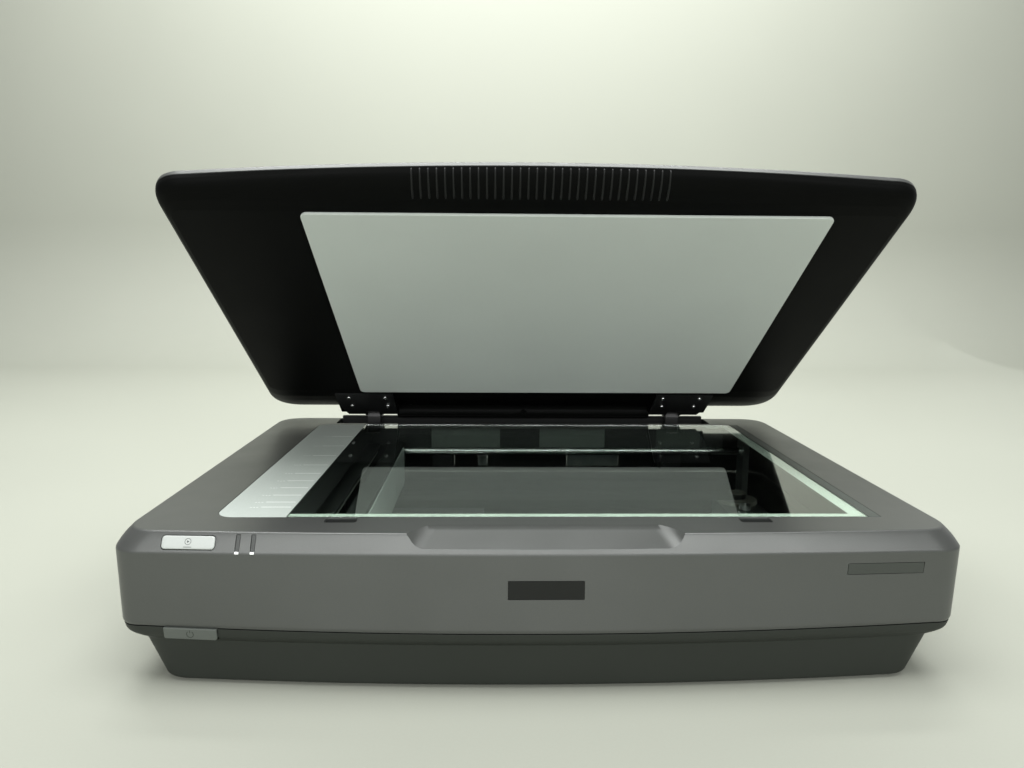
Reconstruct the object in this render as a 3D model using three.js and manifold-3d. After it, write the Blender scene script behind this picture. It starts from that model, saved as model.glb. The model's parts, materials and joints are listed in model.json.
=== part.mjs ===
// Large-format flatbed scanner, lid propped open.
// Millimetres. X runs to the right, Y to the back, Z up; the origin is on the table under the middle.
import * as THREE from 'three';
import { mergeVertices } from 'three/addons/utils/BufferGeometryUtils.js';
import { ConvexGeometry } from 'three/addons/geometries/ConvexGeometry.js';
import Module from 'manifold-3d';

// ---- driving dimensions -------------------------------------------------------------------------
const GAP = 0.3; // clearance kept between neighbouring pieces
const TOP = 126.5; // height of the platen
const CLOSED_HEIGHT = 158; // height over the closed lid
const SEAM = 50; // joint between lower case and upper housing
const CASE_BOTTOM = 2; // underside of the lower case, above the feet
const FLOOR = 4.5; // inner floor of the lower case
const STAND = FLOOR + GAP; // where pieces that stand on the floor begin

const GLASS = { x0: -202.9, x1: 264.8, y0: -180.9, y1: 180.1, thick: 3 };
const STRIP_LEFT = -260; // left end of the scale strip
const RAIL_RIGHT = 275; // right side of the rail beside the glass
const LEDGE = 7; // width of the ledge that carries the glass

const HINGE_Y = 214; // hinge axis, along X
const HINGE_Z = 138;
const LID_OPEN = 36.46; // degrees that the lid stands open
const KNUCKLE = 6.2; // radius of the hinge knuckles
const PIN = 2.4; // hinge pin radius
const POST = { x: 196, wide: 16, y0: 206, y1: 219, foot: 61.3 };
const TRAY_PLANE = 130; // flat inner face of the closed lid
const LID_RIM = 145; // joint between lid tray and lid cover

const ROD = { y: 160, z: 94.5, r: 5, half: 284 };
const CARRIAGE = { x0: -241, x1: -151, y0: -165, y1: 148, z0: 56, z1: 104, wall: 2.5 };
const SLIT_X = -173; // reading line of the carriage at rest
const BELT_Y = 120; // belt and pulley centre line
const PULLEY_X = 260; // pulley centres, left and right
const PULLEY = 8; // pulley radius at the belt
const BELT_Z = 46.3;
const BELT_TALL = 6;
const BELT_THICK = 1.2;
const GEAR_Z = 41;
const MODULE = 1;
const GEAR_TEETH = 44;
const PINION_TEETH = 12;
const MOTOR = { size: 42, z0: 8.5, z1: 37.7 };
const REAR_FACE = 229; // outer face of the rear wall

// Each level of a moulded case: height, half width, front line at the middle, how far the front
// line falls back at the corners, rear line, and the front and rear corner radii.
const level = (z, half, front, bow, rear, frontCorner, rearCorner) =>
  ({ z, half, front, bow, rear, frontCorner, rearCorner });

const HOUSING_OUTER = [
  level(SEAM + 0.8, 327, -227.8, 17, 228, 20, 28),
  level(SEAM + 3, 328, -228.8, 17, REAR_FACE, 21, 30),
  level(112, 328, -226, 7, 228.5, 28, 32),
  level(119, 324, -223.1, 7.5, 227.4, 28, 32),
  level(123.5, 320, -221.1, 7.8, 225.6, 28, 32),
  level(TOP, 317, -219.7, 8.2, 223.6, 27, 31),
];
const HOUSING_INNER = [
  level(SEAM, 324, -225, 17, 225.5, 18, 27),
  level(108, 324, -221.5, 7.5, 224.5, 26, 29),
  level(120.5, 315, -208, 8, 219.5, 26, 28),
];
const CASE_OUTER = [
  level(CASE_BOTTOM, 300, -216.5, 12, 208, 25, 28),
  level(38, 315, -221, 13, 217, 28, 28),
  level(40.5, 321, -224, 15, 222.5, 24, 27),
  level(44, 326, -227, 16.5, 227, 22, 28),
  level(SEAM, 327, -228, 17, 228, 20, 28),
];
const CASE_INNER = [
  level(FLOOR, 297, -213.5, 12, 205, 22, 25),
  level(40, 312.5, -218.5, 13, 214.5, 25, 25),
  level(43, 318.5, -221.8, 15, 220.5, 21, 24),
  level(SEAM + 1, 324, -225, 17, 225, 18, 25),
];
const TRAY_OUTER = [
  level(TRAY_PLANE, 311, -186, 0, 140, 14, 14),
  level(131.2, 314.5, -199, 2, 158, 20, 20),
  level(134.5, 318, -212, 5, 180, 25, 26),
  level(139.5, 321, -220.5, 9, 199, 29, 31),
  level(LID_RIM, 322.5, -225, 13, 211, 31, 34),
];
const TRAY_INNER = [
  level(132.5, 308, -184, 0, 138, 12, 12),
  level(137, 315, -208, 5, 177, 23, 24),
  level(142, 318.5, -217.5, 9, 196, 27, 29),
  level(LID_RIM + 1, 320, -222.5, 13, 208, 29, 32),
];
const COVER_OUTER = [
  level(LID_RIM + GAP, 322.5, -225, 13, 211, 31, 34),
  level(149.5, 322.3, -224.8, 13, 217, 31, 35),
  level(153, 318.5, -219, 13, 216.5, 31, 35),
  level(156.3, 307, -205, 11, 208.5, 30, 32),
  level(CLOSED_HEIGHT, 287, -182, 8, 190, 24, 24),
];
const COVER_INNER = [
  level(LID_RIM, 319.5, -222, 13, 208, 28, 31),
  level(149.3, 318, -220, 13, 212, 28, 31),
  level(152.8, 311, -209, 11, 208, 26, 28),
  level(155.5, 286, -181, 8, 188, 22, 22),
];

// ---- solids -------------------------------------------------------------------------------------
const wasm = await Module();
wasm.setup();

// The solid of a closed geometry, with shared corners merged and collapsed triangles dropped.
function solid(geometry) {
  const bare = geometry.clone();
  bare.deleteAttribute('normal');
  bare.deleteAttribute('uv');
  const merged = mergeVertices(bare, 1e-4);
  const triangles = [];
  for (let i = 0; i < merged.index.count; i += 3) {
    const [a, b, c] = [0, 1, 2].map((k) => merged.index.getX(i + k));
    if (a !== b && b !== c && c !== a) triangles.push(a, b, c);
  }
  return new wasm.Manifold(new wasm.Mesh({
    numProp: 3,
    vertProperties: Float32Array.from(merged.attributes.position.array),
    triVerts: Uint32Array.from(triangles),
  }));
}

function geometryOf(body) {
  const mesh = body.getMesh();
  const geometry = new THREE.BufferGeometry();
  geometry.setAttribute('position', new THREE.Float32BufferAttribute(mesh.vertProperties, 3));
  geometry.setIndex(new THREE.BufferAttribute(mesh.triVerts, 1));
  return geometry;
}

const join = (...geometries) => geometries.map(solid).reduce((a, b) => a.add(b));
const cut = (body, ...geometries) => geometries.map(solid).reduce((a, b) => a.subtract(b), body);

function box(x0, x1, y0, y1, z0, z1) {
  return new THREE.BoxGeometry(x1 - x0, y1 - y0, z1 - z0)
    .translate((x0 + x1) / 2, (y0 + y1) / 2, (z0 + z1) / 2);
}

// Cylinders along each axis, from one coordinate to another.
const rodZ = (r, x, y, z0, z1, sides = 24) =>
  new THREE.CylinderGeometry(r, r, z1 - z0, sides).rotateX(Math.PI / 2).translate(x, y, (z0 + z1) / 2);
const rodX = (r, y, z, x0, x1, sides = 24) =>
  new THREE.CylinderGeometry(r, r, x1 - x0, sides).rotateZ(Math.PI / 2).translate((x0 + x1) / 2, y, z);
const rodY = (r, x, z, y0, y1, sides = 24) =>
  new THREE.CylinderGeometry(r, r, y1 - y0, sides).translate(x, (y0 + y1) / 2, z);

const extrude = (shape, depth, curveSegments = 6) =>
  new THREE.ExtrudeGeometry(shape, { depth, bevelEnabled: false, curveSegments });

// A shape drawn in (y, z) extruded along X, and one drawn in (x, z) extruded along Y.
const X = new THREE.Vector3(1, 0, 0);
const Y = new THREE.Vector3(0, 1, 0);
const Z = new THREE.Vector3(0, 0, 1);
function alongX(shape, x0, x1, curveSegments) {
  return extrude(shape, x1 - x0, curveSegments)
    .applyMatrix4(new THREE.Matrix4().makeBasis(Y, Z, X)).translate(x0, 0, 0);
}
function alongY(shape, y0, y1, curveSegments) {
  return extrude(shape, y1 - y0, curveSegments)
    .applyMatrix4(new THREE.Matrix4().makeBasis(X, Z, Y.clone().negate())).translate(0, y1, 0);
}

function roundedRect(x0, x1, y0, y1, r) {
  const shape = new THREE.Shape();
  shape.moveTo(x0 + r, y0);
  shape.lineTo(x1 - r, y0);
  shape.quadraticCurveTo(x1, y0, x1, y0 + r);
  shape.lineTo(x1, y1 - r);
  shape.quadraticCurveTo(x1, y1, x1 - r, y1);
  shape.lineTo(x0 + r, y1);
  shape.quadraticCurveTo(x0, y1, x0, y1 - r);
  shape.lineTo(x0, y0 + r);
  shape.quadraticCurveTo(x0, y0, x0 + r, y0);
  return shape;
}

// Plan outline of a case at one level: straight back and sides, round corners, bowed front.
function outline({ half, front, bow, rear, frontCorner, rearCorner }) {
  const corner = front + bow;
  const end = half - frontCorner;
  const shape = new THREE.Shape();
  shape.moveTo(half - rearCorner, rear);
  shape.lineTo(-half + rearCorner, rear);
  shape.quadraticCurveTo(-half, rear, -half, rear - rearCorner);
  shape.lineTo(-half, corner + frontCorner);
  shape.quadraticCurveTo(-half, corner, -end, corner);
  shape.quadraticCurveTo(0, front - bow, end, corner);
  shape.quadraticCurveTo(half, corner, half, corner + frontCorner);
  shape.lineTo(half, rear - rearCorner);
  shape.quadraticCurveTo(half, rear, half - rearCorner, rear);
  const points = shape.getPoints(6);
  points.pop();
  return points;
}

// A closed solid through a stack of outlines with the same number of points.
function loft(levels) {
  const rings = levels.map(outline);
  const count = rings[0].length;
  const positions = rings.flatMap((ring, i) => ring.flatMap((p) => [p.x, p.y, levels[i].z]));
  const index = [];
  for (let i = 0; i + 1 < rings.length; i += 1) {
    for (let j = 0; j < count; j += 1) {
      const a = i * count + j;
      const b = i * count + ((j + 1) % count);
      index.push(a, b, b + count, a, b + count, a + count);
    }
  }
  const last = (rings.length - 1) * count;
  for (const [a, b, c] of THREE.ShapeUtils.triangulateShape(rings[0], [])) index.push(c, b, a);
  for (const [a, b, c] of THREE.ShapeUtils.triangulateShape(rings.at(-1), [])) {
    index.push(last + a, last + b, last + c);
  }
  const geometry = new THREE.BufferGeometry();
  geometry.setAttribute('position', new THREE.Float32BufferAttribute(positions, 3));
  geometry.setIndex(index);
  return geometry;
}

// Where the outer front of a case stands at width x and height z.
function frontLine(levels, x, z) {
  const above = Math.max(1, levels.findIndex((l) => l.z >= z));
  const [lower, upper] = [levels[above - 1], levels[above]];
  const mix = (z - lower.z) / (upper.z - lower.z);
  const at = (l) => l.front + l.bow * (x / (l.half - l.frontCorner)) ** 2;
  return THREE.MathUtils.lerp(at(lower), at(upper), mix);
}

// Moves a geometry drawn with X to the right, Y up and Z outward onto the front of a case.
function onFront(geometry, levels, x, z) {
  const step = 0.5;
  const run = frontLine(levels, x + step, z) - frontLine(levels, x - step, z);
  const rise = frontLine(levels, x, z + step) - frontLine(levels, x, z - step);
  const right = new THREE.Vector3(2 * step, run, 0).normalize();
  const out = right.clone().cross(new THREE.Vector3(0, rise, 2 * step)).normalize();
  const up = out.clone().cross(right);
  const place = new THREE.Matrix4().makeBasis(right, up, out);
  place.setPosition(x, frontLine(levels, x, z), z);
  return geometry.applyMatrix4(place);
}

// A trapezoid-toothed spur gear outline.
function gearShape(teeth, phase) {
  const pitch = (teeth * MODULE) / 2;
  const shape = new THREE.Shape();
  const step = (2 * Math.PI) / teeth;
  const corners = [[-0.27, -1.1], [-0.11, 0.75], [0.11, 0.75], [0.27, -1.1]];
  for (let i = 0; i < teeth; i += 1) {
    for (const [turn, rise] of corners) {
      const angle = phase + (i + turn) * step;
      const r = pitch + rise * MODULE;
      const move = i === 0 && turn === corners[0][0] ? 'moveTo' : 'lineTo';
      shape[move](r * Math.cos(angle), r * Math.sin(angle));
    }
  }
  shape.closePath();
  return shape;
}

// ---- scene graph --------------------------------------------------------------------------------
const scanner = new THREE.Group();
const lidPivot = new THREE.Group();
lidPivot.position.set(0, HINGE_Y, HINGE_Z);
lidPivot.rotation.x = THREE.MathUtils.degToRad(-LID_OPEN);
const lid = new THREE.Group(); // holds the lid's pieces where they lie when it is closed
lid.position.set(0, -HINGE_Y, -HINGE_Z);
lidPivot.add(lid);
scanner.add(lidPivot);

function add(name, form, [color, roughness, metalness], parent = scanner) {
  const geometry = geometryOf(form.isBufferGeometry ? solid(form) : form);
  const mesh = new THREE.Mesh(geometry, new THREE.MeshStandardMaterial({ color, roughness, metalness }));
  mesh.name = name;
  parent.add(mesh);
  return mesh;
}

const HOUSING_GREY = [0x63676a, 0.5, 0];
const CASE_GREY = [0x3c3e40, 0.6, 0];
const BLACK = [0x101113, 0.5, 0];
const WHITE = [0xdfe3e2, 0.8, 0];
const SILVER = [0xa9afb3, 0.45, 0.1];
const STEEL = [0xb4b6b8, 0.3, 1];
const PALE_STEEL = [0x8f9396, 0.4, 1];
const CLEAR = [0xcfe0dc, 0.05, 0];
const RUBBER = [0x1b1b1b, 0.9, 0];
const BOARD = [0x1f5a3a, 0.6, 0];
const PLASTIC = [0x2a2b2d, 0.6, 0];
const MIRROR = [0xe8eaec, 0.05, 1];
const LAMP = [0xf4f6f2, 0.3, 0];

// ---- housing ------------------------------------------------------------------------------------
const TROUGH = { half: 241, y0: 188, y1: 219.8, floor: 104 };
const BUTTON = { x: -265.5, z: 119, wide: 40, tall: 10, deep: 5, corner: 2.5 };
const INDICATORS = [-228.5, -217];
const SLOT = { wide: 3, tall: 12.6, deep: 3 };
const NAME = { x: 1.5, z: 85, wide: 57, tall: 14, deep: 1 };
const LABEL = { x: 261, z: 98.7, wide: 60, tall: 8.6, deep: 0.8 };
const INLET = { x0: -120, x1: -92, z0: 60, z1: 80 };
const USB = { x0: -60, x1: -48, z0: 62, z1: 73 };
const OPTION = { x0: 60, x1: 130, z0: 58, z1: 84 };

// A rounded bar standing out of the front face by `proud`, and reaching `deep` behind it.
const frontBar = (size, deep, proud, grow, corner) => extrude(roundedRect(
  -size.wide / 2 - grow, size.wide / 2 + grow, -size.tall / 2 - grow, size.tall / 2 + grow, corner,
), deep + proud, 3).translate(0, 0, -deep);

function fingerRecess() {
  const back = -199;
  const lip = -229;
  const corners = [
    [-86, back, TOP - 0.3], [90, back, TOP - 0.3], [-98, lip, 114], [102, lip, 114],
    [-92, back + 2, TOP + 3], [96, back + 2, TOP + 3], [-112, lip, TOP + 3], [116, lip, TOP + 3],
  ];
  return new ConvexGeometry(corners.map((c) => new THREE.Vector3(...c)));
}

function rimNotch(x) {
  return box(x - 12.5, x + 12.5, -194, -183, TOP - 3, TOP + 1);
}

function rearHole({ x0, x1, z0, z1 }) {
  return box(x0 - 0.4, x1 + 0.4, REAR_FACE - 10, REAR_FACE + 3, z0 - 0.4, z1 + 0.4);
}

function upperHousing() {
  let body = cut(solid(loft(HOUSING_OUTER)), loft(HOUSING_INNER));
  body = body.add(solid(box(-TROUGH.half - 4, TROUGH.half + 4, 184.5, 226, TROUGH.floor - 3, TOP - 1)));
  body = body.add(solid(box(-240, 240, TROUGH.y1 + 0.3, 226.5, TOP - 2, TROUGH.floor + 26)));
  body = cut(
    body,
    box(-TROUGH.half, TROUGH.half, TROUGH.y0, TROUGH.y1, TROUGH.floor, TOP + 5),
    box(STRIP_LEFT - GAP, RAIL_RIGHT + GAP, GLASS.y0 - GAP, GLASS.y1 + GAP, TOP - GLASS.thick - GAP, TOP + 3),
    box(GLASS.x0 + LEDGE, GLASS.x1 - LEDGE, GLASS.y0 + LEDGE, GLASS.y1 - LEDGE, 100, TOP + 3),
    fingerRecess(),
    rimNotch(-158),
    rimNotch(170),
    onFront(frontBar(BUTTON, 16, 3, 0.5, 3), HOUSING_OUTER, BUTTON.x, BUTTON.z),
    onFront(frontBar(NAME, NAME.deep + GAP, 3, 0.3, 0.6), HOUSING_OUTER, NAME.x, NAME.z),
    onFront(frontBar(LABEL, LABEL.deep + GAP, 3, 0.3, 0.6), HOUSING_OUTER, LABEL.x, LABEL.z),
    rearHole(INLET),
    rearHole(USB),
    rearHole(OPTION),
  );
  for (const x of INDICATORS) {
    body = cut(body, onFront(frontBar(SLOT, SLOT.deep + GAP, 3, 0.3, 0.4), HOUSING_OUTER, x, BUTTON.z));
  }
  for (const side of [-1, 1]) {
    const x = side * POST.x;
    body = cut(body, box(x - 8.6, x + 8.6, POST.y0 - 0.6, TROUGH.y1, TROUGH.floor - 5, TROUGH.floor + 1));
  }
  return body;
}
add('upper_housing', upperHousing(), HOUSING_GREY);

// Lower case: a tapered tray with a lip under the seam, a lug for the belt spring, a hole for the
// transport lock and a slot for the power button.
const POWER = { x: -269, z: 45.4, wide: 42, tall: 9.4, deep: 7 };
const LOCK = { x: -205, y: -110, r: 12 };
const SPRING_LUG_X = -214;

function lowerCase() {
  let body = cut(solid(loft(CASE_OUTER)), loft(CASE_INNER));
  body = body.add(solid(box(SPRING_LUG_X, SPRING_LUG_X + 3, BELT_Y - 9, BELT_Y + 9, FLOOR - 1, 36)));
  return cut(
    body,
    onFront(frontBar(POWER, 22, 12, 0.7, 0.8), CASE_OUTER, POWER.x, POWER.z),
    rodZ(LOCK.r + 0.4, LOCK.x, LOCK.y, 0, FLOOR + 1),
  );
}
add('lower_case', lowerCase(), CASE_GREY);

for (const [name, x, y] of [
  ['foot_front_left', -250, -160], ['foot_front_right', 250, -160],
  ['foot_rear_left', -250, 165], ['foot_rear_right', 250, 165],
]) {
  add(name, rodZ(10, x, y, 0, CASE_BOTTOM - GAP, 20), RUBBER);
}

function transportLock() {
  const knob = join(
    rodZ(LOCK.r, LOCK.x, LOCK.y, CASE_BOTTOM + 0.3, FLOOR + GAP + 0.1),
    rodZ(LOCK.r + 3, LOCK.x, LOCK.y, FLOOR + GAP, FLOOR + 2.5),
    box(LOCK.x - 3, LOCK.x + 9, LOCK.y - 3, LOCK.y + 3, FLOOR + 2, FLOOR + 14),
  );
  return cut(knob, box(LOCK.x - 9, LOCK.x + 9, LOCK.y - 1, LOCK.y + 1, 0, CASE_BOTTOM + 1.6));
}
add('transport_lock', transportLock(), PLASTIC);

// ---- platen -------------------------------------------------------------------------------------
const PLATE_Z = TOP - GLASS.thick;
const panel = (x0, x1, z1) => box(x0, x1, GLASS.y0, GLASS.y1, PLATE_Z, z1);
add('platen_glass', panel(GLASS.x0, GLASS.x1, TOP), CLEAR);
add('scale_strip', panel(STRIP_LEFT, GLASS.x0 - GAP, TOP), SILVER);
add('right_rail', panel(GLASS.x1 + GAP, RAIL_RIGHT, TOP + 0.2), PLASTIC);
add('calibration_strip', box(
  GLASS.x0 + LEDGE + 1, GLASS.x0 + LEDGE + 12, -168, 168, PLATE_Z - 1.2, PLATE_Z - GAP), WHITE);

// ---- front controls -----------------------------------------------------------------------------
const frontPiece = (size, proud, corner, levels = HOUSING_OUTER, x = size.x, z = size.z) =>
  onFront(frontBar(size, size.deep, proud, 0, corner), levels, x, z);
add('start_button', frontPiece(BUTTON, 0.6, BUTTON.corner), [0xd8dadb, 0.4, 0.1]);
add('start_switch', onFront(
  box(-3, 3, -3, 3, -12, -BUTTON.deep - 1.6), HOUSING_OUTER, BUTTON.x, BUTTON.z), PLASTIC);
add('name_plate', frontPiece(NAME, 0, 0.5), BLACK);
add('label_plate', frontPiece(LABEL, 0, 0.5), CASE_GREY);
add('indicator_left', frontPiece(SLOT, 0, 0.3, HOUSING_OUTER, INDICATORS[0], BUTTON.z), CLEAR);
add('indicator_right', frontPiece(SLOT, 0, 0.3, HOUSING_OUTER, INDICATORS[1], BUTTON.z), CLEAR);
add('power_button', frontPiece(POWER, 1.2, 0.8, CASE_OUTER), HOUSING_GREY);
add('power_switch', onFront(
  box(-5, 5, -3, 3, -19, -POWER.deep - 2.2), CASE_OUTER, POWER.x, POWER.z), PLASTIC);

// ---- rear sockets -------------------------------------------------------------------------------
function socket({ x0, x1, z0, z1 }, depth, wall, tongues) {
  const face = REAR_FACE - 0.4;
  const shell = cut(
    solid(box(x0, x1, face - depth, face, z0, z1)),
    box(x0 + wall, x1 - wall, face - depth + 4, face + 1, z0 + wall, z1 - wall),
  );
  return tongues.reduce((body, [x, z, wide, tall]) => body.add(solid(
    box(x - wide / 2, x + wide / 2, face - depth + 3, face - 4, z - tall / 2, z + tall / 2),
  )), shell);
}
add('power_inlet', socket(INLET, 24, 2.4, [[-112.5, 68, 1.8, 4], [-106, 72, 1.8, 4], [-99.5, 68, 1.8, 4]]), BLACK);
add('usb_socket', socket(USB, 16, 1.4, [[-54, 67.5, 5, 2.4]]), PALE_STEEL);
add('option_cover', box(
  OPTION.x0, OPTION.x1, REAR_FACE - 2.8, REAR_FACE - 0.8, OPTION.z0, OPTION.z1), PALE_STEEL);

// ---- electronics --------------------------------------------------------------------------------
function mainBoard() {
  const board = box(-30, 150, -70, 88, 12, 13.6);
  const chips = [[0, -45, 22, 10], [60, 20, 28, 4], [105, -20, 20, 3], [20, 60, 34, 9], [120, 60, 18, 12]];
  const parts = chips.map(([x, y, size, tall]) =>
    box(x - size / 2, x + size / 2, y - size / 2, y + size / 2, 13, 13.6 + tall));
  const legs = [[-24, -64], [144, -64], [-24, 82], [144, 82]]
    .map(([x, y]) => rodZ(3, x, y, STAND, 12.5, 12));
  return join(board, ...parts, ...legs);
}
add('main_board', mainBoard(), BOARD);

function powerSupply() {
  return cut(
    join(box(-170, -50, -10, 92, STAND, 42)),
    ...[-150, -130, -110, -90, -70].map((x) => box(x - 4, x + 4, -20, -7, 14, 36)),
  );
}
add('power_supply', powerSupply(), PALE_STEEL);

// A flat cable from the board along the floor, turned up in a loop to the carriage.
function ribbonCable() {
  const [left, radius, low, thick] = [-205, 23.2, 9, 0.6];
  const high = low + 2 * radius;
  const shape = new THREE.Shape();
  shape.moveTo(-40, low);
  shape.lineTo(left, low);
  shape.absarc(left, low + radius, radius, -Math.PI / 2, -1.5 * Math.PI, true);
  shape.lineTo(-180, high);
  shape.lineTo(-180, high - thick);
  shape.lineTo(left, high - thick);
  shape.absarc(left, low + radius, radius - thick, -1.5 * Math.PI, -Math.PI / 2, false);
  shape.lineTo(-40, low + thick);
  return alongY(shape, -62, -34, 10);
}
add('ribbon_cable', ribbonCable(), WHITE);

// ---- carriage -----------------------------------------------------------------------------------
const { x0: CX0, x1: CX1, y0: CY0, y1: CY1, z0: CZ0, z1: CZ1, wall: CW } = CARRIAGE;

function carriageHousing() {
  const ear = (x) => box(x, x + 12, CY1 - 3, ROD.y + 11, 78, CZ1);
  const runner = box(CX0, CX1, CY0 - 9, CY0 + 3, CZ0 - 0.6, CZ0 + 8);
  return cut(
    join(box(CX0, CX1, CY0, CY1, CZ0, CZ1), ear(CX0), ear(CX1 - 12), runner),
    box(CX0 + CW, CX1 - CW, CY0 + CW, CY1 - CW, CZ0 + CW, CZ1 + 1),
    rodX(ROD.r + 0.35, ROD.y, ROD.z, CX0 - 1, CX1 + 1),
  );
}
add('carriage_housing', carriageHousing(), BLACK);
add('carriage_cover', cut(
  solid(box(CX0, CX1, CY0, CY1, CZ1 + GAP, CZ1 + 3.5)),
  box(SLIT_X - 5, SLIT_X + 5, CY0 + 8, CY1 - 8, CZ1, CZ1 + 5)), BLACK);

function sidePlate() {
  const keyhole = (y) => [
    rodX(5, y, 72, CX1 - 1, CX1 + 3, 20),
    box(CX1 - 1, CX1 + 3, y - 2, y + 2, 72, 84),
  ];
  return cut(
    solid(box(CX1 + GAP, CX1 + 1.5, CY0 + 3, CY1 - 3, CZ0 + 2, CZ1 - 1)),
    ...keyhole(58), ...keyhole(-60),
  );
}
add('carriage_side_plate', sidePlate(), STEEL);

add('scan_lamp', rodY(3.2, SLIT_X - 12, 97, CY0 + 5, CY1 - 5, 16), LAMP);

// Mirror strips across the carriage, each tilted about Y to fold the light towards the lens.
const mirror = (x, z, tilt, tall) => new THREE.BoxGeometry(2.5, 290, tall).rotateY(tilt)
  .translate(x, (CY0 + CY1) / 2, z);
add('mirror_first', mirror(SLIT_X, 68, Math.PI / 4, 20), MIRROR);
add('mirror_second', mirror(CX0 + 12, 68, -0.25, 14), MIRROR);
add('mirror_third', mirror(CX1 - 9, 88, 0.2, 12), MIRROR);

function lensBarrel() {
  const y = (CY0 + CY1) / 2;
  return cut(
    join(rodX(12, y, 82, -212, -190), rodX(14, y, 82, -204, -198)),
    rodX(8, y, 82, -213, -209),
    rodX(9, y, 82, -193, -189),
  );
}
add('lens_barrel', lensBarrel(), BLACK);
add('sensor_board', join(
  box(CX0 + 3, CX0 + 4.6, -50, 33, 76, 101), box(CX0 + 4, CX0 + 8, -35, 18, 79, 86)), BOARD);

// ---- guides -------------------------------------------------------------------------------------
add('guide_rod', rodX(ROD.r, ROD.y, ROD.z, -ROD.half, ROD.half), STEEL);
for (const [name, side] of [['rod_clamp_left', -1], ['rod_clamp_right', 1]]) {
  const [near, far] = [274, 281.5].map((x) => side * x);
  const foot = side * 262;
  add(name, cut(
    join(
      box(Math.min(near, far), Math.max(near, far), ROD.y - 12, ROD.y + 12, STAND, ROD.z + 12),
      box(Math.min(foot, far), Math.max(foot, far), ROD.y - 12, ROD.y + 12, STAND, STAND + 4),
    ),
    rodX(ROD.r + GAP, ROD.y, ROD.z, Math.min(near, far) - 1, Math.max(near, far) + 1),
  ), PALE_STEEL);
}

function frontRail() {
  const [back, face] = [CY0 - 1, CY0 - 11];
  const top = CZ0 - 1;
  return join(
    box(-270, 270, face, face + 2, STAND, top),
    box(-270, 270, face, back, top - 2, top),
    box(-270, 270, face - 8, face + 2, STAND, STAND + 2),
  );
}
add('front_rail', frontRail(), PALE_STEEL);

// ---- drive --------------------------------------------------------------------------------------
function stadium(radius) {
  const shape = new THREE.Shape();
  shape.moveTo(-PULLEY_X, -radius);
  shape.lineTo(PULLEY_X, -radius);
  shape.absarc(PULLEY_X, 0, radius, -Math.PI / 2, Math.PI / 2, false);
  shape.lineTo(-PULLEY_X, radius);
  shape.absarc(-PULLEY_X, 0, radius, Math.PI / 2, 1.5 * Math.PI, false);
  return shape;
}
const beltInner = PULLEY + GAP;
const beltShape = stadium(beltInner + BELT_THICK);
beltShape.holes.push(stadium(beltInner));
add('drive_belt', extrude(beltShape, BELT_TALL, 8).translate(0, BELT_Y, BELT_Z), RUBBER);

// Pulley with flanges above and below the belt, and a bore for its pin.
const flangeLow = (x) => rodZ(PULLEY + 2.3, x, BELT_Y, BELT_Z - 1.1, BELT_Z - GAP);
const flangeHigh = (x) => rodZ(PULLEY + 2.3, x, BELT_Y, BELT_Z + BELT_TALL + GAP, BELT_Z + BELT_TALL + 1.1);
const drum = (x) => rodZ(PULLEY, x, BELT_Y, BELT_Z - 1, BELT_Z + BELT_TALL + 1, 32);
const bore = (x) => rodZ(2.8, x, BELT_Y, 20, 70, 16);
const SPIN = [0xe6e4da, 0.5, 0];

add('drive_gear', cut(
  join(
    extrude(gearShape(GEAR_TEETH, 0), 4.5).translate(PULLEY_X, BELT_Y, GEAR_Z),
    flangeLow(PULLEY_X), flangeHigh(PULLEY_X), drum(PULLEY_X),
    rodZ(6, PULLEY_X, BELT_Y, GEAR_Z, BELT_Z),
  ),
  bore(PULLEY_X)), SPIN);
add('idle_pulley', cut(join(flangeLow(-PULLEY_X), flangeHigh(-PULLEY_X), drum(-PULLEY_X)), bore(-PULLEY_X)), SPIN);

// The gear's gap faces the pinion, so the pinion turns a tooth towards it.
const PINION_Y = BELT_Y - ((GEAR_TEETH + PINION_TEETH) * MODULE) / 2 - 0.15;
const gearTurn = Math.PI / 2 + Math.PI / PINION_TEETH;
add('motor_pinion', join(
  extrude(gearShape(PINION_TEETH, gearTurn), 6).translate(PULLEY_X, PINION_Y, GEAR_Z),
  rodZ(2.5, PULLEY_X, PINION_Y, MOTOR.z1 + GAP, GEAR_Z + 7, 16)), STEEL);
add('stepper_motor', cut(
  solid(extrude(roundedRect(-MOTOR.size / 2, MOTOR.size / 2, -MOTOR.size / 2, MOTOR.size / 2, 5),
    MOTOR.z1 - MOTOR.z0, 3).translate(PULLEY_X, PINION_Y, MOTOR.z0)),
  rodZ(11, PULLEY_X, PINION_Y, MOTOR.z1 - 0.6, MOTOR.z1 + 1)), PLASTIC);

function motorBracket() {
  const half = MOTOR.size / 2;
  const [y0, y1] = [PINION_Y - half - 4, BELT_Y + 24];
  const [low, high] = [MOTOR.z1 + GAP, MOTOR.z1 + GAP + 2];
  const left = PULLEY_X - half;
  const right = PULLEY_X + half;
  return cut(
    join(
      box(left - 2.6, right + 2.6, y0, y1, low, high),
      box(left - 2.6, left - 0.4, y0, y1, STAND, high),
      box(right + 0.4, right + 2.6, y0, y1, STAND, high),
      rodZ(2.5, PULLEY_X, BELT_Y, low, BELT_Z + BELT_TALL + 2, 16),
    ),
    rodZ(6, PULLEY_X, PINION_Y, low - 1, high + 1),
  );
}
add('motor_bracket', motorBracket(), PALE_STEEL);

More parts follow.
